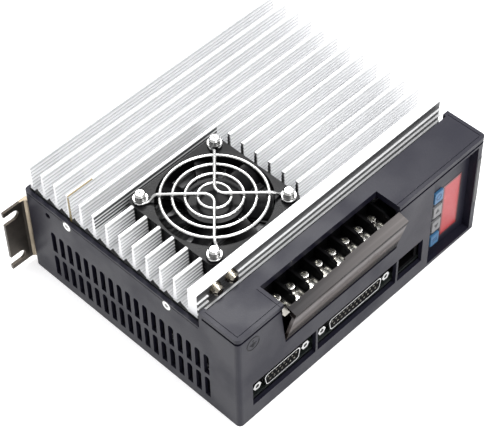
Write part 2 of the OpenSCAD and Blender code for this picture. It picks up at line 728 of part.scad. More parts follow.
module dsub_body(x, span, ways) place() color([0.06, 0.06, 0.07]) translate([x, 0, port_mid]) difference() {
    union() {
        upright(dsub_in, dsub_in + 9) translate([-(span + 5.8) / 2, -dsub_flange_h / 2])
            square([span + 5.8, dsub_flange_h]);
        upright(dsub_in - dsub_reach + 0.4, dsub_in + eps)
            polygon(dsub_points(dsub_w(span) - 2 * dsub_shell_t - 0.2, dsub_h - 2 * dsub_shell_t - 0.2));
    }
    for (row = [0, 1], i = [0 : (ways + 1) / 2 - 1 - row])
        translate([(i - ((ways + 1) / 2 - 1 - row) / 2) * socket_pitch, 0, row == 0 ? 1.42 : -1.42])
            upright(dsub_in - dsub_reach, dsub_in - 0.5) circle(r = 0.6, $fn = 6);
    for (s = [-1, 1]) translate([s * span / 2, dsub_in - 1, 0]) rotate([-90, 0, 0])
        cylinder(r = 1.42 + fit, h = 8);
}

module port15_body() dsub_body(dsub15_x, dsub15_span, 15);
module port15_shell() dsub_shell(dsub15_x, dsub15_span);
module port25_body() dsub_body(dsub25_x, dsub25_span, 25);
module port25_shell() dsub_shell(dsub25_x, dsub25_span);

jack_l = 2.8;
jack_r = 1.42;
jack_bore_r = 1.2;
module jack_screws() place() color("silver")
    for (c = [[dsub15_x, dsub15_span], [dsub25_x, dsub25_span]], s = [-1, 1])
        translate([c.x + s * c.y / 2, dsub_in, port_mid]) rotate([90, 0, 0]) difference() {
            union() {
                cylinder(r = 2.75, h = jack_l, $fn = 6);
                translate([0, 0, -6]) cylinder(r = jack_r, h = 6 + eps);
            }
            translate([0, 0, 0.3]) cylinder(r = jack_bore_r, h = jack_l);
        }

module aux_socket() place() color([0.05, 0.05, 0.06]) difference() {
    translate([aux_x + 1.2, wall + gap, control_z + board_t])
        cube([aux_w - 2.4, 13, port_z + port_h - 0.8 - control_z - board_t]);
    translate([aux_x + 3.4, wall - 1, port_z + 4.4]) cube([aux_w - 6.8, 10, port_h - 7.4]);
}

// ---- display ----

module display_bezel() place() color([0.3, 0.3, 0.32]) difference() {
    union() {
        translate([recess_x + fit, recess_y, floor_t + fit])
            cube([recess_w - 2 * fit, bezel_t, recess_top - floor_t - 2 * fit]);
        for (p = display_posts) translate([p.x, bezel_back - eps, p.y]) rotate([-90, 0, 0])
            cylinder(r = 2.2, h = display_board_y - bezel_back + eps);
    }
    translate([window_x - window_w / 2 - fit, recess_y - 1, window_z - window_h / 2 - fit])
        cube([window_w + 2 * fit, bezel_t + 2, window_h + 2 * fit]);
    for (i = [0 : 3]) translate([key_x - key_w / 2 - 0.15, recess_y - 1, key_z(i) - key_h / 2 - 0.15])
        cube([key_w + 0.3, bezel_t + 2, key_h + 0.3]);
    for (p = display_posts) translate([p.x, bezel_back + 1, p.y]) rotate([-90, 0, 0])
        cylinder(r = 1 + fit, h = module_t + 2);
}

display_posts = [for (x = [recess_x + 3, recess_x + recess_w - 3], z = [floor_t + 3, recess_top - 6]) [x, z]];
function key_z(i) = key_mid + (1.5 - i) * key_pitch;

module display_window() place() color([0.75, 0.25, 0.28])
    translate([window_x - window_w / 2, recess_y - 0.15, window_z - window_h / 2])
        cube([window_w, bezel_t + 0.15, window_h]);

module display_module() place() color([0.2, 0.18, 0.18])
    translate([window_x - window_w / 2 + 0.1, bezel_back + gap, window_z - window_h / 2 + 0.3])
        cube([window_w - 0.2, module_t, window_h - 0.6]);

module display_board() place() color([0.1, 0.32, 0.18]) difference() {
    translate([recess_x + 0.5, display_board_y, floor_t + 0.8])
        cube([recess_w - 1, board_t, recess_top - floor_t - 3.8]);
    for (p = display_posts) translate([p.x, display_board_y - 1, p.y]) rotate([-90, 0, 0])
        cylinder(r = 1 + 0.2, h = board_t + 2);
}

module display_screws() place() color("silver") for (p = display_posts)
    translate([p.x, display_board_y + board_t, p.y]) rotate([-90, 0, 0]) pan_screw(1, 5, 1.9, 1.3);

key_back = recess_y + 3.4;
module key_switches() place() color([0.15, 0.15, 0.16]) for (i = [0 : 3])
    translate([key_x, display_board_y, key_z(i)]) rotate([90, 0, 0]) {
        translate([-3, -3, 0]) cube([6, 6, display_board_y - key_back - key_travel - 0.9]);
        cylinder(r = 1.6, h = display_board_y - key_back - key_travel - 0.05);
    }

// A keycap with rounded corners, a bevelled face and a shoulder that holds it behind the bezel
key_r = 0.9;
module key_slab(w, h, r, y0, y1) translate([key_x - w / 2, y1, -h / 2]) rotate([90, 0, 0])
    rounded_plate(w, h, y1 - y0, r);
module keycap(i) translate([0, 0, key_z(i)]) {
    key_slab(key_w, key_h, key_r, recess_y - key_proud + 0.3, key_back);
    key_slab(key_w - 0.6, key_h - 0.6, key_r - 0.3, recess_y - key_proud, recess_y - key_proud + 0.3 + eps);
    key_slab(key_w + 1.2, key_h + 0.8, key_r, bezel_back + 0.15, key_back);
}

module key_1() place() color([0.31, 0.56, 0.77]) keycap(0);
module key_2() place() color([0.7, 0.72, 0.75]) keycap(1);
module key_3() place() color([0.7, 0.72, 0.75]) keycap(2);
module key_4() place() color([0.31, 0.56, 0.77]) keycap(3);

// ---- boards inside ----

control_d = 60;
control_y = wall + gap;
module control_board() place() color([0.1, 0.32, 0.18]) difference() {
    translate([wall + 3, control_y, control_z]) cube([aux_x + aux_w - wall - 2, control_d, board_t]);
    for (p = control_posts) translate([p.x, p.y, control_z - 1]) cylinder(r = m3 + 0.2, h = board_t + 2);
}

// Flat chip with a notch at one end: place on the board as shares of its length and depth, then size
control_chip = [[0.28, 0.66, 14, 14], [0.5, 0.66, 10, 10], [0.76, 0.66, 18, 8],
    [0.28, 0.88, 22, 7], [0.6, 0.88, 16, 7]];
chip_h = 1.8;
module control_chips() place() color([0.08, 0.08, 0.09]) for (c = control_chip)
    translate([aux_x * c[0], control_y + control_d * c[1] - 8, control_z + board_t]) difference() {
        translate([-c[2] / 2, -c[3] / 2, 0]) cube([c[2], c[3], chip_h]);
        translate([-c[2] / 2, 0, chip_h - 0.4]) cylinder(r = 1.2, h = 1);
    }

module power_board() place() color([0.1, 0.32, 0.18]) difference() {
    translate([wall + 4.8, control_y, power_z]) cube([box_w - 2 * wall - 9.6, box_d - 2 * wall - 6, board_t]);
    translate([recess_x - recess_wall - 1, 0, power_z - 1]) cube([box_w, flange_y + 0.5, board_t + 2]);
    for (p = power_posts) translate([p.x, p.y, power_z - 1]) cylinder(r = m3 + 0.2, h = board_t + 2);
}

module_w = 40;
module_d = 28;
module_pitch = 50;
module_spots = [for (k = [-1, 0, 1]) [box_w / 2 + k * module_pitch, box_d * 0.62]];
pad_t = 0.5;
module power_modules() place() color([0.09, 0.09, 0.1]) for (p = module_spots)
    translate([p.x - module_w / 2, p.y - module_d / 2, power_top])
        cube([module_w, module_d, sink_z - pad_t - power_top]);

module thermal_pads() place() color([0.75, 0.75, 0.72]) for (p = module_spots)
    translate([p.x - module_w / 2 + 1, p.y - module_d / 2 + 1, sink_z - pad_t])
        cube([module_w - 2, module_d - 2, pad_t]);

// Electrolytic capacitors hanging under the power board, each with a crimped neck
cap_r = 11;
cap_h = 24;
cap_pitch = 28;
cap_spots = [for (k = [-1, 0, 1]) [box_w * 0.42 + k * cap_pitch, box_d * 0.79]];
module capacitors() place() color([0.12, 0.14, 0.25]) for (p = cap_spots)
    translate([p.x, p.y, power_z - cap_h]) rotate_extrude() polygon([[0, 0.4], [cap_r - 2.2, 0.4],
        [cap_r - 1.4, 0], [cap_r - 0.5, 0], [cap_r, 0.6], [cap_r, cap_h - 4.4], [cap_r - 0.9, cap_h - 3.8],
        [cap_r - 0.9, cap_h - 3.2], [cap_r, cap_h - 2.6], [cap_r, cap_h - 0.4], [cap_r - 0.4, cap_h], [0, cap_h]]);

// Supply transformer: a coil in a laminated core, under the power board
core_w = 30;
core_d = 14;
core_h = 22;
coil_d = 26;
yoke_t = 5;
core_spot = [box_w * 0.8, box_d * 0.77];
module transformer() place() color([0.5, 0.42, 0.2]) translate([core_spot.x, core_spot.y, power_z - core_h]) {
    difference() {
        translate([-core_w / 2, -core_d / 2, 0]) cube([core_w, core_d, core_h]);
        for (s = [-1, 1]) translate([s * core_w / 4 - yoke_t / 2, -core_d, yoke_t])
            cube([yoke_t, core_d * 2, core_h - 2 * yoke_t]);
    }
    translate([-core_w / 4 - 2, -coil_d / 2, yoke_t + gap])
        rounded_plate(core_w / 2 + 4, coil_d, core_h - 2 * (yoke_t + gap), 3);
}

module board_screws() place() color("silver") {
    for (p = control_posts) translate([p.x, p.y, control_z + board_t]) pan_screw(m3, 6, 2.8, 1.8);
    for (p = power_posts) translate([p.x, p.y, power_top]) pan_screw(m3, 8, 2.8, 1.8);
}

housing_shell();
top_cover();
heat_sink();
fan_frame();
fan_rotor();
fan_stator();
fan_guard();
fan_washers();
fan_screws();
earth_washers();
earth_screws();
side_screws();
left_bracket();
right_bracket();
bracket_screws();
terminal_block();
terminal_plates();
terminal_washers();
terminal_screws();
terminal_cover();
port15_body();
port15_shell();
port25_body();
port25_shell();
jack_screws();
aux_socket();
display_bezel();
display_window();
display_module();
display_board();
display_screws();
key_switches();
key_1();
key_2();
key_3();
key_4();
blank_label();
control_board();
control_chips();
power_board();
power_modules();
thermal_pads();
capacitors();
transformer();
board_screws();
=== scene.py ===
# Stepper motor driver module: finishes, small parts and studio.
import math

import bpy
from mathutils import Matrix, Vector


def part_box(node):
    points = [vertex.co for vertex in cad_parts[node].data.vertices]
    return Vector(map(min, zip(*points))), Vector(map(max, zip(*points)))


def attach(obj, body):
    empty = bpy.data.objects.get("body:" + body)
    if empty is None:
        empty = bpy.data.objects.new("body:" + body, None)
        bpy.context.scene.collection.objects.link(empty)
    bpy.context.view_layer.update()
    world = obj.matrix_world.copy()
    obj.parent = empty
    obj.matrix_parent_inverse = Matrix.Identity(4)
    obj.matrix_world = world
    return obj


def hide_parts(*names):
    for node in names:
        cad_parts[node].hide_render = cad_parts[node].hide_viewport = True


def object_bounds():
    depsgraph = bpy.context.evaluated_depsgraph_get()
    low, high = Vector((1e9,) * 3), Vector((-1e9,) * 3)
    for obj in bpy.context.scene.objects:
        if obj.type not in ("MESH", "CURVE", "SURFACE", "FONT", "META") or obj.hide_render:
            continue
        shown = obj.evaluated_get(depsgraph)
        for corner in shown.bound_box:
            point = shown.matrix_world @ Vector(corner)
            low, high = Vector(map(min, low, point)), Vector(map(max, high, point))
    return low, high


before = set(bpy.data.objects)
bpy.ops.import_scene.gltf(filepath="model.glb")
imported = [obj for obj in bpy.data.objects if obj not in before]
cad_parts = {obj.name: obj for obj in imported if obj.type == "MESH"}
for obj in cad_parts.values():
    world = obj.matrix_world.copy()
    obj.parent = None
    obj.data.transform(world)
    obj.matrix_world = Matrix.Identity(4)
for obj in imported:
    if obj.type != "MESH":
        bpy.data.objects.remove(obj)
cad_box = [list(corner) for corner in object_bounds()]
MM = 0.001


def ends(node):
    """The least and the greatest corner of a CAD node's box."""
    return tuple(Vector(corner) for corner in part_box(node))


def middle(node):
    first, last = ends(node)
    return (first + last) / 2


# ---- studio ----

def aim_camera():
    """A long lens, above and to the left of the front panel."""
    turn, lift, roll = math.radians(-44.53), math.radians(49.24), math.radians(1.453)
    back = Vector((math.sin(turn) * math.cos(lift), -math.cos(turn) * math.cos(lift), math.sin(lift)))
    right = Vector((math.cos(turn), math.sin(turn), 0))
    up = back.cross(right)
    across = right * math.cos(roll) - up * math.sin(roll)
    upward = right * math.sin(roll) + up * math.cos(roll)
    lens = bpy.data.cameras.new("camera")
    lens.sensor_width = 36
    lens.lens = 121.45
    lens.clip_end = 20
    camera = bpy.data.objects.new("camera", lens)
    bpy.context.scene.collection.objects.link(camera)
    pose = Matrix((across, upward, back)).transposed().to_4x4()
    pose.translation = Vector((-391.34, -388.92, 662.94)) * MM
    camera.matrix_world = pose
    bpy.context.scene.camera = camera


def area_light(name, place, target, size, watts):
    lamp = bpy.data.lights.new(name, "AREA")
    lamp.size = size
    lamp.energy = watts
    light = bpy.data.objects.new(name, lamp)
    bpy.context.scene.collection.objects.link(light)
    light.location = place
    light.rotation_euler = (Vector(target) - Vector(place)).to_track_quat("-Z", "Y").to_euler()


def light_studio():
    """Four soft lamps in a surround that is white to the eye and dimmer as a light."""
    bpy.context.scene.view_settings.view_transform = "Standard"
    area_light("overhead_softbox", place=(-0.1, 0.2, 1.3), target=(0, 0, 0.03), size=0.9, watts=6.2)
    area_light("front_key", place=(0.1, -0.62, 1.2), target=(0, 0, 0.05), size=0.5, watts=9.2)
    area_light("front_fill", place=(-0.3, -1.4, 0.5), target=(0, 0, 0.03), size=0.8, watts=3)
    area_light("rear_fill", place=(0.346, 0.379, 0.861), target=(-0.075, -0.06, 0.068), size=0.35, watts=5.4)
    world = bpy.data.worlds.new("white_surround")
    bpy.context.scene.world = world
    world.use_nodes = True
    tree = world.node_tree
    tree.nodes.clear()
    path = tree.nodes.new("ShaderNodeLightPath").outputs
    seen = larger(tree, path["Is Camera Ray"], path["Is Glossy Ray"])
    clear = larger(tree, seen, path["Is Transmission Ray"])
    sky = tree.nodes.new("ShaderNodeBackground")
    tree.links.new(map_mask(tree, clear, 0.62, 1.0), sky.inputs["Strength"])
    out = tree.nodes.new("ShaderNodeOutputWorld")
    tree.links.new(sky.outputs[0], out.inputs["Surface"])


def lay_floor():
    """A pale floor just under the feet, brighter to the eye than as a light."""
    bpy.ops.mesh.primitive_plane_add(size=12, location=(0, 0, cad_box[0][2] - 0.2 * MM))
    floor = bpy.context.object
    floor.name = "studio_floor"
    material, tree, shader = new_material("studio_floor", Base_Color=(0.84, 0.84, 0.85, 1), Roughness=0.9,
        Specular_IOR_Level=0.1, Emission_Color=(1, 1, 1, 1))
    path = tree.nodes.new("ShaderNodeLightPath").outputs
    seen = larger(tree, path["Is Camera Ray"], path["Is Glossy Ray"])
    tree.links.new(times(tree, seen, 0.5), shader.inputs["Emission Strength"])
    floor.data.materials.append(material)


# ---- shared effects ----

FLOAT, VECTOR = "NodeSocketFloat", "NodeSocketVector"


def new_group(name, inputs, outputs):
    group = bpy.data.node_groups.new(name, "ShaderNodeTree")
    for label, kind, value in inputs:
        socket = group.interface.new_socket(name=label, in_out="INPUT", socket_type=kind)
        socket.default_value = value
    for label, kind in outputs:
        group.interface.new_socket(name=label, in_out="OUTPUT", socket_type=kind)
    return group, group.nodes.new("NodeGroupInput"), group.nodes.new("NodeGroupOutput")


def math_node(tree, operation, first, second=None):
    node = tree.nodes.new("ShaderNodeMath")
    node.operation = operation
    for socket, value in zip(node.inputs, (first, second)):
        if isinstance(value, (int, float)):
            socket.default_value = value
        elif value is not None:
            tree.links.new(value, socket)
    return node.outputs[0]


def plus(tree, first, second):
    return math_node(tree, "ADD", first, second)


def minus(tree, first, second):
    return math_node(tree, "SUBTRACT", first, second)


def times(tree, first, second):
    return math_node(tree, "MULTIPLY", first, second)


def over(tree, first, second):
    return math_node(tree, "DIVIDE", first, second)


def larger(tree, first, second):
    return math_node(tree, "MAXIMUM", first, second)


def smaller(tree, first, second):
    return math_node(tree, "MINIMUM", first, second)


def apart(tree, first, second):
    """How far apart two values are, either way."""
    return math_node(tree, "ABSOLUTE", minus(tree, first, second))


def map_range(tree, value, start, end, least=0.0, most=1.0, easing="LINEAR"):
    spread = tree.nodes.new("ShaderNodeMapRange")
    spread.interpolation_type = easing
    for label, number in (("From Min", start), ("From Max", end), ("To Min", least), ("To Max", most)):
        spread.inputs[label].default_value = number
    tree.links.new(value, spread.inputs["Value"])
    return spread.outputs[0]


def map_mask(tree, mask, least, most):
    return map_range(tree, mask, 0.0, 1.0, least, most)


def object_noise(tree, scale, detail=3.0, stretch=(1, 1, 1)):
    where = tree.nodes.new("ShaderNodeTexCoord")
    mapping = tree.nodes.new("ShaderNodeMapping")
    mapping.inputs["Scale"].default_value = stretch
    noise = tree.nodes.new("ShaderNodeTexNoise")
    noise.inputs["Detail"].default_value = detail
    tree.links.new(where.outputs["Object"], mapping.inputs["Vector"])
    tree.links.new(mapping.outputs[0], noise.inputs["Vector"])
    if isinstance(scale, (int, float)):
        noise.inputs["Scale"].default_value = scale
    else:
        tree.links.new(scale, noise.inputs["Scale"])
    return noise.outputs["Fac"]


def send_bumps(group, given, made, height):
    """Sends a height out as a mask, and as a normal of the given depth."""
    bump = group.nodes.new("ShaderNodeBump")
    bump.inputs["Strength"].default_value = 1
    group.links.new(given.outputs["Depth"], bump.inputs["Distance"])
    group.links.new(height, bump.inputs["Height"])
    group.links.new(height, made.inputs["Mask"])
    group.links.new(bump.outputs[0], made.inputs["Normal"])


def build_grain():
    """Moulded grain."""
    group, given, made = new_group("fine_grain", [("Scale", FLOAT, 900.0), ("Depth", FLOAT, 0.02 * MM)],
        [("Mask", FLOAT), ("Normal", VECTOR)])
    send_bumps(group, given, made, object_noise(group, given.outputs["Scale"]))
    return group


def build_lines():
    """Lines drawn along X."""
    group, given, made = new_group("drawn_lines", [("Fineness", FLOAT, 300.0), ("Depth", FLOAT, 0.01 * MM)],
        [("Mask", FLOAT), ("Normal", VECTOR)])
    streaks = object_noise(group, given.outputs["Fineness"], detail=4.0, stretch=(0.02, 1, 1))
    send_bumps(group, given, made, streaks)
    return group


def build_marks():
    """Soft patches, as from hands."""
    group, given, made = new_group("handling_marks", [("Scale", FLOAT, 40.0), ("Amount", FLOAT, 1.0)],
        [("Mask", FLOAT)])
    cloud = object_noise(group, given.outputs["Scale"], detail=6.0)
    patches = map_range(group, cloud, 0.42, 0.68)
    group.links.new(times(group, patches, given.outputs["Amount"]), made.inputs["Mask"])
    return group


def build_edge_wear_and_highlight():
    """Broken wear and painted highlight where a rounded normal turns away from the flat one."""
    group, given, made = new_group("edge_wear_and_highlight", [("Width", FLOAT, 0.4 * MM), ("Amount", FLOAT, 1.0)],
        [("Mask", FLOAT)])
    rounded = group.nodes.new("ShaderNodeBevel")
    rounded.samples = 4
    group.links.new(given.outputs["Width"], rounded.inputs["Radius"])
    flat = group.nodes.new("ShaderNodeNewGeometry")
    facing = group.nodes.new("ShaderNodeVectorMath")
    facing.operation = "DOT_PRODUCT"
    group.links.new(rounded.outputs[0], facing.inputs[0])
    group.links.new(flat.outputs["True Normal"], facing.inputs[1])
    turned = minus(group, 1.0, facing.outputs["Value"])
    broken = times(group, times(group, turned, 3.0), object_noise(group, 350.0))
    held = smaller(group, times(group, broken, given.outputs["Amount"]), 1.0)
    group.links.new(held, made.inputs["Mask"])
    return group


EFFECTS = {"grain": build_grain(), "lines": build_lines(), "marks": build_marks(),
    "edge": build_edge_wear_and_highlight()}


def place_effect(tree, effect, **values):
    node = tree.nodes.new("ShaderNodeGroup")
    node.node_tree = EFFECTS[effect]
    for label, value in values.items():
        node.inputs[label].default_value = value
    return node


def blend_colours(tree, mask, first, second):
    mix = tree.nodes.new("ShaderNodeMix")
    mix.data_type = "RGBA"
    tree.links.new(mask, mix.inputs["Factor"])
    for socket, colour in ((mix.inputs[6], first), (mix.inputs[7], second)):
        if isinstance(colour, tuple):
            socket.default_value = (*colour, 1)
        else:
            tree.links.new(colour, socket)
    return mix.outputs[2]


def axes_of(tree, source):
    """X, Y and Z of a point's place ("Object") or of its direction ("Normal"), on the piece itself."""
    where = tree.nodes.new("ShaderNodeTexCoord")
    split = tree.nodes.new("ShaderNodeSeparateXYZ")
    tree.links.new(where.outputs[source], split.inputs[0])
    return split.outputs


def all_of(tree, *tests):
    """A mask that is 1 where every test of a value against a limit holds."""
    mask = None
    for value, sign, limit in tests:
        test = math_node(tree, "GREATER_THAN" if sign == ">" else "LESS_THAN", value, limit)
        mask = test if mask is None else times(tree, mask, test)
    return mask


def new_material(name, **constants):
    material = bpy.data.materials.new(name)
    material.use_nodes = True
    shader = material.node_tree.nodes["Principled BSDF"]
    for label, value in constants.items():
        shader.inputs[label.replace("_", " ")].default_value = value
    return material, material.node_tree, shader


def link_finish(tree, shader, colour, cloud, rough, normal=None):
    """Links a colour, a roughness that a mask spreads between two values and, if given, a normal."""
    tree.links.new(colour, shader.inputs["Base Color"])
    tree.links.new(map_mask(tree, cloud, *rough), shader.inputs["Roughness"])
    if normal is not None:
        tree.links.new(normal, shader.inputs["Normal"])


def plastic(name, colour, paler_tone, rough=(0.38, 0.52), edge=0.6, gloss=0.5):
    """Moulded plastic: a fine grain, handling marks and paler edges."""
    material, tree, shader = new_material(name, Specular_IOR_Level=gloss)
    texture = place_effect(tree, "grain", Scale=1100.0, Depth=0.03 * MM)
    handled = place_effect(tree, "marks", Scale=45.0)
    rim = place_effect(tree, "edge", Amount=edge)
    mottled = blend_colours(tree, map_mask(tree, texture.outputs["Mask"], 0.0, 0.35), colour, paler_tone)
    edged = blend_colours(tree, rim.outputs["Mask"], mottled, paler_tone)
    link_finish(tree, shader, edged, handled.outputs["Mask"], rough, texture.outputs["Normal"])
    return material


def metal(name, colour, dull, rough=(0.2, 0.35), lines=(300.0, 0.01 * MM), edge=0.5):
    """Drawn or plated metal: fine lines, dull patches and brighter edges."""
    material, tree, shader = new_material(name, Metallic=1.0)
    drawn = place_effect(tree, "lines", Fineness=lines[0], Depth=lines[1])
    handled = place_effect(tree, "marks", Scale=60.0)
    rim = place_effect(tree, "edge", Amount=edge)
    clouded = blend_colours(tree, handled.outputs["Mask"], colour, dull)
    brighter = tuple(min(1.0, part * 1.12) for part in colour)
    edged = blend_colours(tree, rim.outputs["Mask"], clouded, brighter)
    link_finish(tree, shader, edged, drawn.outputs["Mask"], rough, drawn.outputs["Normal"])
    return material


# ---- finishes ----

def board_laminate():
    """Dark laminate with its weave showing under a thin coat."""
    material, tree, shader = new_material("board_laminate", Coat_Weight=0.4, Coat_Roughness=0.2)
    weave = tree.nodes.new("ShaderNodeTexBrick")
    weave.inputs["Scale"].default_value = 260
    weave.inputs["Color1"].default_value = (0.008, 0.011, 0.01, 1)
    weave.inputs["Color2"].default_value = (0.01, 0.014, 0.012, 1)
    weave.inputs["Mortar"].default_value = (0.016, 0.022, 0.019, 1)
    where = tree.nodes.new("ShaderNodeTexCoord")
    tree.links.new(where.outputs["Object"], weave.inputs["Vector"])
    handled = place_effect(tree, "marks", Scale=80.0)
    link_finish(tree, shader, weave.outputs["Color"], handled.outputs["Mask"], (0.3, 0.5))
    return material


# The fins as extruded: their height, the bead along the tip, the fillet at the root and the grooves up
# each side; then from one fin to the next, and from the last fin's centre to the rear edge.
FIN_HEIGHT, FIN_BEAD, FIN_ROOT, FIN_GROOVES = 17.4 * MM, 1.0 * MM, 1.2 * MM, 7
FIN_PITCH, FIN_INSET = 9.2 * MM, 2.6 * MM
FRONT_WALL = 6.95 * MM
# The machined pocket past the fan's frame, to the left and the right, and the painted shade behind it.
POCKET_LEFT, POCKET_RIGHT, SHADE = 1.0 * MM, 4.2 * MM, 4.5 * MM


def grooves_along(tree, count):
    """A mask with one soft line for each whole step of a value."""
    ridge = apart(tree, math_node(tree, "FRACT", count), 0.5)
    return math_node(tree, "POWER", minus(tree, 1.0, times(tree, ridge, 2.0)), 1.6)


def fin_roots():
    """The height at which the fins' sides begin."""
    return ends("heat_sink")[1].z - FIN_HEIGHT + FIN_ROOT


def rear_fin():
    """Where the middle of the rear fin lies along Y."""
    return ends("heat_sink")[1].y - FIN_INSET


def fin_number(tree, y):
    """A value that is whole in the middle of each fin."""
    return over(tree, minus(tree, y, rear_fin()), FIN_PITCH)


def side_grooves(tree, place, facing):
    """Painted shade in the grooves up the fins' sides: stronger to the left of the fan, and strongest in its
    shade.
    """
    x, y, z = place
    first, last = ends("heat_sink")
    fan_first, fan_last = ends("fan_frame")
    step = (FIN_HEIGHT - FIN_BEAD - FIN_ROOT) / FIN_GROOVES
    groove = grooves_along(tree, over(tree, minus(tree, z, fin_roots()), step))
    sides = all_of(tree, (z, ">", fin_roots()), (z, "<", last.z - FIN_BEAD / 2),
        (math_node(tree, "ABSOLUTE", facing[1]), ">", 0.5))
    left = all_of(tree, (x, "<", fan_first.x))
    toward_fan = map_range(tree, x, first.x, fan_first.x, most=0.75)
    stubs = times(tree, toward_fan, all_of(tree, (x, "<", fan_first.x), (y, "<", fan_last.y)))
    plain = plus(tree, plus(tree, 0.4, times(tree, left, 0.1)), stubs)
    behind = ((y, ">", fan_last.y), (y, "<", fan_last.y + SHADE))
    beside = all_of(tree, (x, ">", fan_first.x - POCKET_LEFT), (x, "<", fan_last.x + POCKET_RIGHT), *behind)
    above = all_of(tree, (x, "<", fan_first.x), (z, ">", last.z - 10.0 * MM), *behind)
    strength = larger(tree, plain, times(tree, larger(tree, beside, above), 2.0))
    return smaller(tree, times(tree, times(tree, groove, sides), strength), 1.0)


def floor_and_tip_lines(tree, place, facing):
    """Fainter lines on the floors between the fins, and one along each tip."""
    y, z = place[1], place[2]
    first, last = ends("heat_sink")
    number = fin_number(tree, y)
    floors = all_of(tree, (z, "<", fin_roots() + 0.2 * MM), (facing[2], ">", 0.5),
        (y, ">", first.y + 8.0 * MM))
    on_floors = times(tree, grooves_along(tree, times(tree, number, FIN_GROOVES)), floors)
    from_middle = apart(tree, math_node(tree, "FRACT", number), 0.5)
    tips = all_of(tree, (from_middle, ">", 0.455), (z, ">", last.z - 0.3 * MM), (facing[2], ">", 0.5))
    return larger(tree, times(tree, on_floors, 0.3), times(tree, tips, 0.5))


def fin_tarnish(tree, place):
    """A stain on the end and along the start of the tip of the fourth fin from the rear."""
    x, y, z = place
    first, last = ends("heat_sink")
    off = apart(tree, y, rear_fin() - 3 * FIN_PITCH - 0.7 * MM)
    on_end = all_of(tree, (off, "<", 0.8 * MM), (x, "<", first.x + 0.5 * MM), (z, "<", last.z - 0.8 * MM))
    on_tip = all_of(tree, (off, "<", 0.45 * MM), (x, "<", first.x + 16 * MM), (z, ">", last.z - 0.5 * MM))
    return times(tree, larger(tree, on_end, on_tip), 0.9)


def sink_aluminium():
    """Extrusion with grooved fins: painted shade darkens the grooves, the front wall, the fan's pocket and
    the corners at the fin roots by the left end.
    """
    material, tree, shader = new_material("heat_sink_aluminium", Metallic=0.3)
    drawn = place_effect(tree, "lines", Fineness=420.0, Depth=0.02 * MM)
    handled = place_effect(tree, "marks", Scale=50.0)
    rim = place_effect(tree, "edge", Amount=0.6)
    place, facing = axes_of(tree, "Object"), axes_of(tree, "Normal")
    x, y, z = place
    first = ends("heat_sink")[0]
    fan_first, fan_last = ends("fan_frame")
    lined = larger(tree, side_grooves(tree, place, facing), floor_and_tip_lines(tree, place, facing))
    clouded = blend_colours(tree, handled.outputs["Mask"], (0.965, 0.97, 0.98), (0.93, 0.935, 0.945))
    # Painted shade: the grooves take a dark colour, and the floor and tip lines share it.
    fins = blend_colours(tree, lined, clouded, (0.045, 0.047, 0.05))
    shade = (0.03, 0.03, 0.032)
    # Painted shade: the front wall's outer face and the fan's pocket take a near-black colour.
    front = all_of(tree, (y, "<", first.y + FRONT_WALL), (facing[1], "<", -0.3), (z, ">", fin_roots()))
    wall_shaded = blend_colours(tree, times(tree, front, 0.93), fins, shade)
    pocket = all_of(tree, (x, ">", fan_first.x - POCKET_LEFT), (x, "<", fan_last.x + POCKET_RIGHT),
        (y, ">", fan_first.y - 0.2 * MM), (y, "<", fan_last.y + 1.2 * MM))
    pocket_shaded = blend_colours(tree, times(tree, pocket, 0.95), wall_shaded, shade)
    bright = blend_colours(tree, rim.outputs["Mask"], pocket_shaded, (0.98, 0.98, 0.98))
    # Painted shade: the corners at the fin roots by the left end take a near-black colour, reaching further
    # from the end across each gap.
    in_gap = math_node(tree, "FRACT", fin_number(tree, y))
    shade_reach = plus(tree, times(tree, in_gap, 1.5 * MM), first.x + 0.5 * MM)
    root_corners = all_of(tree, (x, "<", shade_reach), (z, "<", fin_roots() - 0.3 * MM))
    roots_shaded = blend_colours(tree, root_corners, bright, (0.02, 0.02, 0.022))
    stained = blend_colours(tree, fin_tarnish(tree, place), roots_shaded, (0.2, 0.14, 0.03))
    link_finish(tree, shader, stained, drawn.outputs["Mask"], (0.3, 0.46), drawn.outputs["Normal"])
    return material


def screw_plating():
    """Bright heads whose upright sides take a darker colour as painted shade."""
    material, tree, shader = new_material("screw_plating", Metallic=1.0)
    handled = place_effect(tree, "marks", Scale=160.0)
    rim = place_effect(tree, "edge", Amount=0.8)
    # Painted shade on the upright sides of heads and washers.
    upright = all_of(tree, (axes_of(tree, "Normal")[2], "<", 0.35))
    heads = blend_colours(tree, handled.outputs["Mask"], (0.62, 0.62, 0.61), (0.42, 0.42, 0.41))
    sides = blend_colours(tree, upright, heads, (0.2, 0.2, 0.2))
    edged = blend_colours(tree, rim.outputs["Mask"], sides, (0.95, 0.95, 0.94))
    link_finish(tree, shader, edged, handled.outputs["Mask"], (0.14, 0.3))
    return material


def terminal_plating():
    """Bright plating with dark specks and a painted highlight along its edges; the tongue at the open left
    end takes a dark colour as painted shade.
    """
    material, tree, shader = new_material("terminal_metal", Metallic=1.0)
    specks = place_effect(tree, "marks", Scale=360.0)
    drawn = place_effect(tree, "lines", Fineness=300.0, Depth=0.01 * MM)
    rim = place_effect(tree, "edge", Amount=1.6)
    place = axes_of(tree, "Object")
    first = ends("terminal_plates")[0]
    reach = 5.0 * MM
    tongue = all_of(tree, (place[0], "<", first.x + reach), (place[1], "<", first.y + reach))
    plated = blend_colours(tree, specks.outputs["Mask"], (0.84, 0.83, 0.79), (0.13, 0.12, 0.1))
    # Painted highlight along the edges.
    edged = blend_colours(tree, rim.outputs["Mask"], plated, (0.94, 0.93, 0.88))
    # Painted shade on the tongue at the open left end.
    tongue_shaded = blend_colours(tree, times(tree, tongue, 0.97), edged, (0.035, 0.033, 0.03))
    link_finish(tree, shader, tongue_shaded, drawn.outputs["Mask"], (0.14, 0.26), drawn.outputs["Normal"])
    return material


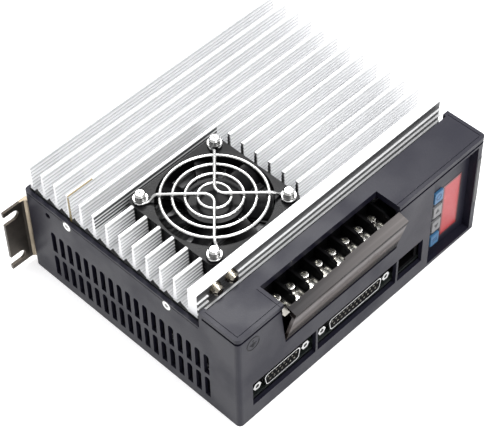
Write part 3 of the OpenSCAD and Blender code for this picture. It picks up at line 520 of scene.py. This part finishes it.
def countersunk_screw():
    """A bright head whose rim, down in the countersink, takes a dark colour as painted shade."""
    material, tree, shader = new_material("painted_screw", Metallic=1.0)
    handled = place_effect(tree, "marks", Scale=160.0)
    place = axes_of(tree, "Object")
    first, last = ends("side_screws")
    head = (last.z - first.z) / 2
    bright_part = 0.76
    nearest = smaller(tree, apart(tree, place[1], first.y + head), apart(tree, place[1], last.y - head))
    up = minus(tree, place[2], middle("side_screws").z)
    squares = plus(tree, math_node(tree, "POWER", nearest, 2.0), times(tree, up, up))
    # Painted shade: the head's outer part, down in the countersink, is dark.
    rim = all_of(tree, (squares, ">", (head * bright_part) ** 2))
    bright = blend_colours(tree, handled.outputs["Mask"], (0.8, 0.8, 0.79), (0.66, 0.66, 0.66))
    rimmed = blend_colours(tree, rim, bright, (0.012, 0.012, 0.013))
    link_finish(tree, shader, rimmed, handled.outputs["Mask"], (0.25, 0.4))
    return material


def plated_bracket():
    """Zinc painted darker as shade where it looks to the front, and dark on the cut edges past the case."""
    material, tree, shader = new_material("zinc_steel", Metallic=1.0)
    drawn = place_effect(tree, "lines", Fineness=300.0, Depth=0.01 * MM)
    handled = place_effect(tree, "marks", Scale=110.0)
    rim = place_effect(tree, "edge", Amount=0.9)
    from_middle = math_node(tree, "ABSOLUTE", axes_of(tree, "Object")[0])
    facing_y = axes_of(tree, "Normal")[1]
    to_front = -0.8
    # Painted shade: the sides to the front take a darker copy of the zinc.
    front = all_of(tree, (facing_y, "<", to_front))
    sides = blend_colours(tree, handled.outputs["Mask"], (0.34, 0.29, 0.22), (0.22, 0.185, 0.14))
    front_shaded = blend_colours(tree, handled.outputs["Mask"], (0.075, 0.066, 0.057), (0.11, 0.096, 0.082))
    turned = blend_colours(tree, front, sides, front_shaded)
    rimmed = blend_colours(tree, rim.outputs["Mask"], turned, (0.75, 0.68, 0.56))
    case_side = ends("housing_shell")[1].x
    cut_edges = all_of(tree, (from_middle, ">", case_side + 2.0 * MM), (facing_y, ">", to_front))
    edged = blend_colours(tree, cut_edges, rimmed, (0.06, 0.052, 0.044))
    link_finish(tree, shader, edged, drawn.outputs["Mask"], (0.28, 0.45), drawn.outputs["Normal"])
    return material


# The smoked cover's face from its lower edge to its upper one: how far up, and the colour there: the smoke's
# brown, a painted highlight band high up, and painted shade toward both edges.
COVER_BANDS = (
    (0.22, (0.008, 0.005, 0.004, 1)), (0.33, (0.11, 0.094, 0.088, 1)), (0.4, (0.125, 0.108, 0.102, 1)),
    (0.48, (0.1, 0.087, 0.083, 1)), (0.57, (0.14, 0.125, 0.122, 1)), (0.69, (0.22, 0.203, 0.2, 1)),
    (0.79, (0.17, 0.156, 0.154, 1)), (0.84, (0.02, 0.016, 0.015, 1)))


def smoke_plastic():
    """Smoked sheet: the strip on top is darker and scuffed lengthwise, and the face fades down, with a
    painted highlight band and painted shade toward its upper and lower edges.
    """
    material, tree, shader = new_material("smoke_plastic", IOR=1.1, Specular_IOR_Level=0.2)
    scuffed = place_effect(tree, "lines", Fineness=260.0, Depth=0.01 * MM)
    handled = place_effect(tree, "marks", Scale=70.0)
    rim = place_effect(tree, "edge", Width=0.3 * MM, Amount=0.25)
    place = axes_of(tree, "Object")
    first, last = ends("terminal_cover")
    top = all_of(tree, (axes_of(tree, "Normal")[2], ">", 0.6))
    along = map_range(tree, place[0], first.x, last.x)
    scuffs = blend_colours(tree, along, (0.085, 0.082, 0.084), (0.26, 0.24, 0.235))
    strip = blend_colours(tree, scuffed.outputs["Mask"], (0.008, 0.0075, 0.008), scuffs)
    # Painted highlight and painted shade on the face, in the smoke's brown.
    fade = tree.nodes.new("ShaderNodeValToRGB")
    bands = fade.color_ramp.elements
    bands[0].position, bands[0].color = 0.15, (0.006, 0.004, 0.003, 1)
    bands[1].position, bands[1].color = 0.88, (0.003, 0.002, 0.002, 1)
    for position, colour in COVER_BANDS:
        bands.new(position).color = colour
    tree.links.new(map_range(tree, place[2], first.z, last.z), fade.inputs[0])
    hazed = map_mask(tree, handled.outputs["Mask"], 0.0, 0.3)
    smoked = blend_colours(tree, hazed, fade.outputs["Color"], (0.09, 0.074, 0.067))
    tint = blend_colours(tree, top, smoked, strip)
    # Painted highlight along the edges.
    edged = blend_colours(tree, rim.outputs["Mask"], tint, (0.35, 0.32, 0.3))
    link_finish(tree, shader, edged, handled.outputs["Mask"], (0.2, 0.38))
    return material


def red_window():
    """Red filter that darkens softly toward its border."""
    material, tree, shader = new_material("red_window", Specular_IOR_Level=0.25)
    handled = place_effect(tree, "marks", Scale=90.0)
    texture = place_effect(tree, "grain", Scale=600.0, Depth=0.005 * MM)
    tint = blend_colours(tree, handled.outputs["Mask"], (0.46, 0.036, 0.042), (0.5, 0.06, 0.065))
    place = axes_of(tree, "Object")
    first, last = ends("display_window")
    from_sides = [smaller(tree, minus(tree, place[axis], first[axis]), minus(tree, last[axis], place[axis]))
        for axis in (0, 2)]
    border = 2.2 * MM
    inward = map_range(tree, smaller(tree, *from_sides), 0.0, border, easing="SMOOTHSTEP")
    bordered = blend_colours(tree, inward, (0.075, 0.03, 0.032), tint)
    link_finish(tree, shader, bordered, handled.outputs["Mask"], (0.18, 0.3), texture.outputs["Normal"])
    return material


FINISHES = [
    (plastic("case_plastic", (0.0075, 0.0073, 0.0155), (0.024, 0.0235, 0.038), gloss=0.25),
        "housing_shell", "display_bezel", "top_cover"),
    (sink_aluminium(), "heat_sink"),
    (plastic("fan_plastic", (0.0025, 0.0025, 0.003), (0.009, 0.009, 0.01), rough=(0.26, 0.4), gloss=0.1),
        "fan_frame", "fan_rotor"),
    (metal("motor_winding", (0.72, 0.33, 0.14), (0.5, 0.2, 0.08), rough=(0.3, 0.5),
        lines=(900.0, 0.04 * MM)),
        "fan_stator"),
    (metal("bright_plating", (0.74, 0.74, 0.735), (0.55, 0.55, 0.545), rough=(0.16, 0.28)),
        "fan_guard", "jack_screws",
        "port15_shell", "port25_shell", "display_screws", "board_screws", "bracket_screws"),
    (screw_plating(), "fan_washers", "fan_screws"),
    (metal("earth_plating", (0.42, 0.39, 0.33), (0.16, 0.14, 0.11), rough=(0.12, 0.26), edge=1.0),
        "earth_washers", "earth_screws"),
    (countersunk_screw(), "side_screws"),
    (plated_bracket(), "left_bracket", "right_bracket"),
    (plastic("terminal_plastic", (0.0015, 0.0015, 0.0018), (0.005, 0.005, 0.0055), rough=(0.5, 0.65),
        edge=0.2, gloss=0.03),
        "terminal_block", "port15_body", "port25_body", "aux_socket", "key_switches"),
    (terminal_plating(),
        "terminal_plates", "terminal_washers", "terminal_screws"),
    (smoke_plastic(), "terminal_cover"),
    (red_window(), "display_window"),
    (plastic("display_resin", (0.05, 0.03, 0.03), (0.1, 0.08, 0.08)), "display_module"),
    (plastic("key_blue", (0.045, 0.15, 0.3), (0.09, 0.22, 0.38), rough=(0.34, 0.46), gloss=0.3),
        "key_1", "key_4"),
    (plastic("key_grey", (0.22, 0.22, 0.225), (0.28, 0.28, 0.285), rough=(0.34, 0.46), gloss=0.3),
        "key_2", "key_3"),
    (plastic("label_stock", (0.15, 0.15, 0.15), (0.12, 0.12, 0.12), rough=(0.5, 0.65), gloss=0.1),
        "blank_label"),
    (board_laminate(), "control_board", "power_board", "display_board"),
    (plastic("epoxy", (0.012, 0.012, 0.013), (0.03, 0.03, 0.03)), "control_chips", "power_modules"),
    (plastic("silicone_pad", (0.45, 0.45, 0.42), (0.52, 0.52, 0.5), rough=(0.6, 0.8)), "thermal_pads"),
    (plastic("capacitor_sleeve", (0.01, 0.015, 0.06), (0.05, 0.06, 0.12), rough=(0.25, 0.35)), "capacitors"),
    (plastic("varnished_coil", (0.25, 0.16, 0.04), (0.38, 0.26, 0.09), rough=(0.3, 0.5)), "transformer"),
]


def finish_nodes():
    for material, *names in FINISHES:
        for name in names:
            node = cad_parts[name]
            node.data.materials.clear()
            node.data.materials.append(material)


# ---- wire guard, marks and contacts ----

def deselect():
    bpy.ops.object.select_all(action="DESELECT")


def settle(piece, name, material, body="case"):
    """Names a finished piece, puts its place in its mesh and hangs it on its body."""
    deselect()
    piece.select_set(True)
    bpy.context.view_layer.objects.active = piece
    bpy.ops.object.transform_apply(location=True, rotation=True, scale=True)
    piece.name = name
    piece.data.materials.clear()
    piece.data.materials.append(material)
    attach(piece, body)
    return piece


def copy_piece(piece, place):
    """A copy with a mesh of its own, at another place."""
    twin = piece.copy()
    twin.data = piece.data.copy()
    twin.location = place
    bpy.context.scene.collection.objects.link(twin)
    return twin


def join_pieces(parts):
    bpy.context.view_layer.update()
    deselect()
    for part in parts:
        part.select_set(True)
    bpy.context.view_layer.objects.active = parts[0]
    bpy.ops.object.join()
    return bpy.context.object


def bend_wire(points, radius):
    """A round wire along a list of points, as a mesh with closed ends."""
    deselect()
    bpy.ops.curve.primitive_nurbs_path_add()
    wire = bpy.context.object
    line = wire.data
    line.splines.clear()
    run = line.splines.new("POLY")
    run.points.add(len(points) - 1)
    for point, place in zip(run.points, points):
        point.co = (*place, 1)
    line.dimensions = "3D"
    line.bevel_depth = radius
    line.bevel_resolution = 4
    line.use_fill_caps = True
    deselect()
    wire.select_set(True)
    bpy.ops.object.convert(target="MESH")
    wire = bpy.context.object
    bpy.ops.object.shade_smooth_by_angle(angle=math.radians(50))
    return wire


def round_bend(centre, radius, start, end, height, steps):
    """Points along an arc in a level plane, between two angles in degrees."""
    angles = (math.radians(start + (end - start) * step / steps) for step in range(steps + 1))
    return [centre + Vector((radius * math.cos(a), radius * math.sin(a), height)) for a in angles]


# How a support wire drops to a screw: back from the screw and to the side in mm, and the part of the
# full height that is left.
KNEE = ((8.4, 0, 1), (7.7, 0.02, 0.97), (7.0, 0.1, 0.86), (6.2, 0.35, 0.62), (5.4, 0.75, 0.38),
    (4.6, 1.2, 0.16), (3.8, 1.65, 0.04), (3.1, 2.05, 0))


def make_guard(material):
    """Four rings under two support wires, which drop to an open eye at each screw."""
    wire, eye, bend, rise = 0.8 * MM, 3.1 * MM, 5.5 * MM, 3.25 * MM
    weld = 1.55 * MM
    largest, ring_step = 26.2 * MM, 6.05 * MM
    half_spacing = 25 * MM
    reach = math.hypot(half_spacing, half_spacing)
    fan = middle("fan_frame")
    centre = Vector((fan.x, fan.y, ends("fan_frame")[1].z + wire))
    parts = []
    for ring in range(4):
        deselect()
        bpy.ops.mesh.primitive_torus_add(location=centre + Vector((0, 0, rise - weld)), major_segments=112,
            minor_segments=14, major_radius=largest - ring_step * ring, minor_radius=wire)
        bpy.ops.object.shade_smooth()
        parts.append(bpy.context.object)
    leg = [Vector((reach - back * MM, side * MM, rise * up)) for back, side, up in KNEE]
    leg += round_bend(Vector((reach, 0, 0)), eye, start=132, end=-140, height=0, steps=26)
    leg.append(Vector((reach - eye, -weld, 0.05 * MM)))
    second = [Vector((-point.y, point.x, point.z)) for point in leg]
    corner = round_bend(Vector((bend, bend, 0)), bend, start=270, end=180, height=rise, steps=12)
    support = bend_wire(leg[::-1] + corner + second, wire)
    support.location = centre
    opposite = copy_piece(support, centre)
    support.rotation_euler.z, opposite.rotation_euler.z = math.radians(-45), math.radians(135)
    guard = settle(join_pieces(parts + [support, opposite]), "wire_guard", material)
    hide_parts("fan_guard")


def flat_ring(centre, radius, width, depth):
    """A thin raised ring on the front panel."""
    deselect()
    bpy.ops.mesh.primitive_circle_add(vertices=64, radius=radius, fill_type="NGON", location=centre,
        rotation=(math.radians(90), 0, 0))
    ring = bpy.context.object
    bpy.ops.object.mode_set(mode="EDIT")
    bpy.ops.mesh.select_all(action="SELECT")
    bpy.ops.mesh.inset(thickness=width)
    bpy.ops.mesh.delete(type="FACE")
    bpy.ops.mesh.select_all(action="SELECT")
    bpy.ops.mesh.extrude_region_move(TRANSFORM_OT_translate={"value": (0, -depth, 0)})
    bpy.ops.mesh.select_all(action="SELECT")
    bpy.ops.mesh.normals_make_consistent(inside=False)
    bpy.ops.object.mode_set(mode="OBJECT")
    return ring


def flat_bar(centre, width, height, depth):
    """A thin raised bar with eased edges, flat against the front panel."""
    deselect()
    bpy.ops.mesh.primitive_cube_add(size=1, location=centre, scale=(width, depth, height))
    bar = bpy.context.object
    bpy.ops.object.transform_apply(location=False, rotation=False, scale=True)
    ease = bar.modifiers.new("ease", "BEVEL")
    ease.width = min(width, height, depth) * 0.25
    ease.segments = 2
    bpy.ops.object.modifier_apply(modifier="ease")
    return bar


def make_earth_sign(material):
    """A ring round an upright line over three shorter and shorter ones."""
    deep, line = 0.12 * MM, 0.5 * MM
    stem, stem_up = 2.6 * MM, 1.1 * MM
    row_down, row_step = 0.2 * MM, 0.95 * MM
    first, last = ends("housing_shell")
    centre = Vector((first.x + 10 * MM, first.y, last.z - 6.2 * MM))
    on_face = centre + Vector((0, -deep / 2, 0))
    parts = [flat_ring(centre, 4.2 * MM, line, deep)]
    parts.append(flat_bar(on_face + Vector((0, 0, stem_up)), line, stem, deep))
    for row, width in enumerate((4.4, 2.9, 1.4)):
        parts.append(flat_bar(on_face - Vector((0, 0, row_down + row_step * row)), width * MM, line, deep))
    settle(join_pieces(parts), "earth_sign", material)


def pointer(centre, radius, depth):
    """A small raised triangle on a key, point up."""
    deselect()
    bpy.ops.mesh.primitive_cylinder_add(vertices=3, radius=radius, depth=depth, end_fill_type="NGON",
        location=centre, rotation=(math.radians(90), 0, 0))
    mark = bpy.context.object
    ease = mark.modifiers.new("ease", "BEVEL")
    ease.width = depth * 0.3
    ease.segments = 2
    bpy.ops.object.modifier_apply(modifier="ease")
    return mark


def key_face(node):
    """The middle of a key's front face."""
    key = middle(node)
    return Vector((key.x, ends(node)[0].y, key.z))


def make_key_marks(grey_print, blue_print):
    """A ring and two bars on the blue keys, pointers up and down on the grey ones."""
    deep, line = 0.1 * MM, 0.6 * MM
    proud, half_gap = Vector((0, -deep / 2, 0)), Vector((0, 0, 0.75 * MM))
    ring = flat_ring(key_face("key_1"), 2.0 * MM, line, deep)
    up = pointer(key_face("key_2") + proud, 1.9 * MM, deep)
    down = copy_piece(up, key_face("key_3") + proud)
    down.rotation_euler.y = math.pi
    lower = flat_bar(key_face("key_4") + proud - half_gap, 3.6 * MM, line, deep)
    bars = join_pieces([lower, copy_piece(lower, key_face("key_4") + proud + half_gap)])
    settle(ring, "key_1_mark", blue_print, "key_top")
    settle(up, "key_2_mark", grey_print, "key_upper")
    settle(down, "key_3_mark", grey_print, "key_lower")
    settle(bars, "key_4_mark", blue_print, "key_bottom")


SLEEVE_LENGTH = 1.2 * MM


def contact_sleeve():
    """One contact: a short tube, open to the front."""
    deselect()
    bpy.ops.mesh.primitive_cylinder_add(vertices=12, radius=0.48 * MM, depth=SLEEVE_LENGTH,
        end_fill_type="NGON", rotation=(math.radians(90), 0, 0))
    sleeve = bpy.context.object
    bpy.ops.object.mode_set(mode="EDIT")
    bpy.ops.mesh.select_all(action="DESELECT")
    bpy.ops.object.mode_set(mode="OBJECT")
    for face in sleeve.data.polygons:
        face.select = face.normal.z > 0.9
    bpy.ops.object.mode_set(mode="EDIT")
    bpy.ops.mesh.inset(thickness=0.16 * MM)
    bpy.ops.mesh.extrude_region_move(TRANSFORM_OT_translate={"value": (0, 0.8 * MM, 0)})
    bpy.ops.object.mode_set(mode="OBJECT")
    return sleeve


def make_contacts(material):
    """Two rows of sleeves in each socket, the upper one longer by one."""
    pitch, half_rows, proud = 2.77 * MM, 1.42 * MM, 0.15 * MM
    sleeve = contact_sleeve()
    for node, ways in (("port15_body", 15), ("port25_body", 25)):
        body = middle(node)
        front = ends(node)[0].y + SLEEVE_LENGTH / 2 - proud
        parts = []
        for count, up in (((ways + 1) // 2, half_rows), ((ways - 1) // 2, -half_rows)):
            for way in range(count):
                across = (way - (count - 1) / 2) * pitch
                parts.append(copy_piece(sleeve, (body.x + across, front, body.z + up)))
        settle(join_pieces(parts), node.replace("body", "contacts"), material)
    bpy.data.meshes.remove(sleeve.data)


aim_camera()
light_studio()
lay_floor()
finish_nodes()
finishes = {material.name: material for material, *names in FINISHES}
make_guard(finishes["bright_plating"])
# The earth sign is moulded with the case: its darker colour is painted shade along its raised lines, and its
# paler edges are a painted highlight.
make_earth_sign(plastic("raised_mark_painted_shade", (0.003, 0.003, 0.004), (0.03, 0.03, 0.034), rough=(0.4, 0.55),
    gloss=0.15))
make_contacts(metal("tinned_contact", (0.5, 0.48, 0.42), (0.3, 0.28, 0.24), rough=(0.25, 0.4)))
make_key_marks(plastic("key_print", (0.02, 0.02, 0.024), (0.05, 0.05, 0.055), rough=(0.45, 0.6)),
    plastic("blue_key_print", (0.012, 0.06, 0.15), (0.03, 0.09, 0.19), rough=(0.45, 0.6)))
